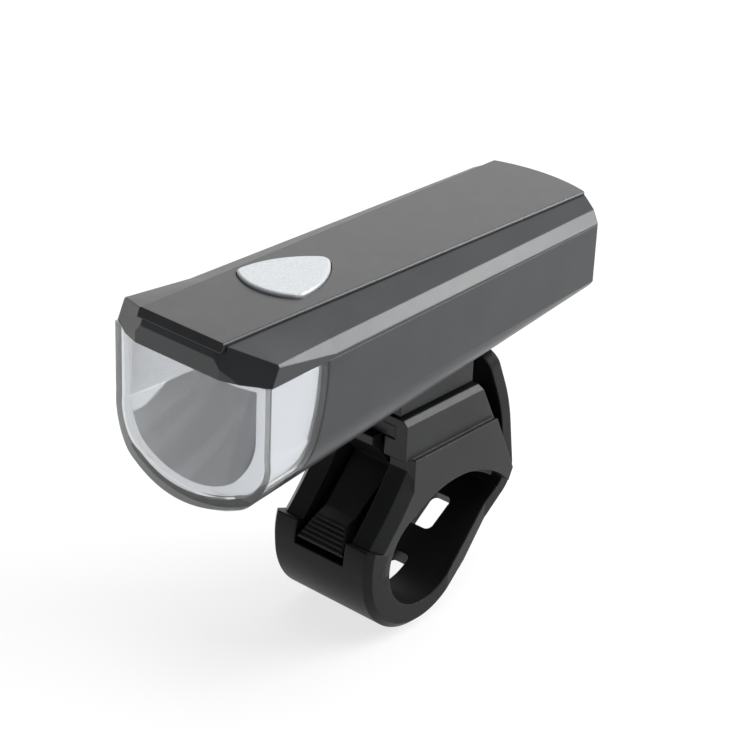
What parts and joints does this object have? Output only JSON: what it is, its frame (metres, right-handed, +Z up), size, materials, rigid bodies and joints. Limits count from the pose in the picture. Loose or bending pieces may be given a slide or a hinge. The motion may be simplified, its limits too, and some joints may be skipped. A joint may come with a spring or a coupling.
{
  "type": "bike headlight",
  "caption": "Long tapered bicycle headlight with a clear wrap-round lens and a top push button, on a slide-in handlebar bracket with a release lever and a holed rubber strap.",
  "frame": {"origin": "middle of the handlebar that the strap holds, on its axis", "axes": "+X along the handlebar, the lamp shines along -Y, +Z up"},
  "size_m": [0.0398, 0.1072, 0.083],
  "materials": {
    "clear_lens": "clear polished polycarbonate",
    "black_rubber": "matt soft rubber",
    "black_plastic": "satin moulded plastic",
    "mirror_chrome": "metallised reflector",
    "aluminium_sheet": "satin aluminium",
    "led_phosphor": "yellow phosphor under clear silicone",
    "green_board": "solder-masked board",
    "switch_metal": "plated sheet steel",
    "dark_plastic": "plain moulded plastic",
    "silver_plastic": "translucent silver grey plastic",
    "cell_sleeve": "shrink sleeve",
    "nickel_strip": "nickel strip",
    "screw_steel": "plain steel",
    "bracket_plastic": "satin moulded nylon",
    "strap_rubber": "satin moulded rubber"
  },
  "bodies": {
    "bracket": {"bracket_body": "bracket_plastic", "saddle_pad": "black_rubber", "lever_pin": "screw_steel", "strap_band": "strap_rubber"},
    "lamp": {"front_lens": "clear_lens", "lens_seal": "black_rubber", "lower_housing": "black_plastic", "reflector": "mirror_chrome", "led_board": "aluminium_sheet", "led_emitter": "led_phosphor", "heat_sink": "aluminium_sheet", "top_cover": "black_plastic", "top_panel": "black_plastic", "circuit_board": "green_board", "tact_switch": "switch_metal", "indicator_leds": "led_phosphor", "charging_socket": "switch_metal", "battery_cells": "cell_sleeve", "battery_tabs": "nickel_strip", "battery_cradle": "dark_plastic", "cover_screws": "screw_steel", "board_screws": "screw_steel", "mounting_shoe": "dark_plastic", "shoe_screws": "screw_steel"},
    "button": {"push_button": "silver_plastic", "switch_plunger": "dark_plastic"},
    "lever": {"release_lever": "bracket_plastic"},
    "strap_end": {"strap_tail": "strap_rubber"},
    "port_flap": {"port_cover": "black_rubber"}
  },
  "joints": [
    {"name": "lamp_slide", "type": "slide", "parent": "bracket", "child": "lamp", "axis": [0, -1, 0], "range_m": [0, 0.026]},
    {"name": "button_press", "type": "slide", "parent": "lamp", "child": "button", "axis": [0, 0, -1], "range_m": [0, 0.0005], "stiffness_N_per_m": 2000},
    {"name": "lever_press", "type": "hinge", "parent": "bracket", "child": "lever", "pos_m": [0, 0.0005, 0.0154], "axis": [1, 0, 0], "range_deg": [0, 3], "stiffness_Nm_per_rad": 0.8},
    {"name": "strap_peel", "type": "hinge", "parent": "bracket", "child": "strap_end", "pos_m": [0, 0.0282, 0.00174], "axis": [-1, 0, 0], "range_deg": [0, 50], "stiffness_Nm_per_rad": 0.05},
    {"name": "port_flap_hinge", "type": "hinge", "parent": "lamp", "child": "port_flap", "pos_m": [0, 0.0495, 0.0535], "axis": [-1, 0, 0], "range_deg": [0, 100], "stiffness_Nm_per_rad": 0.002}
  ]
}
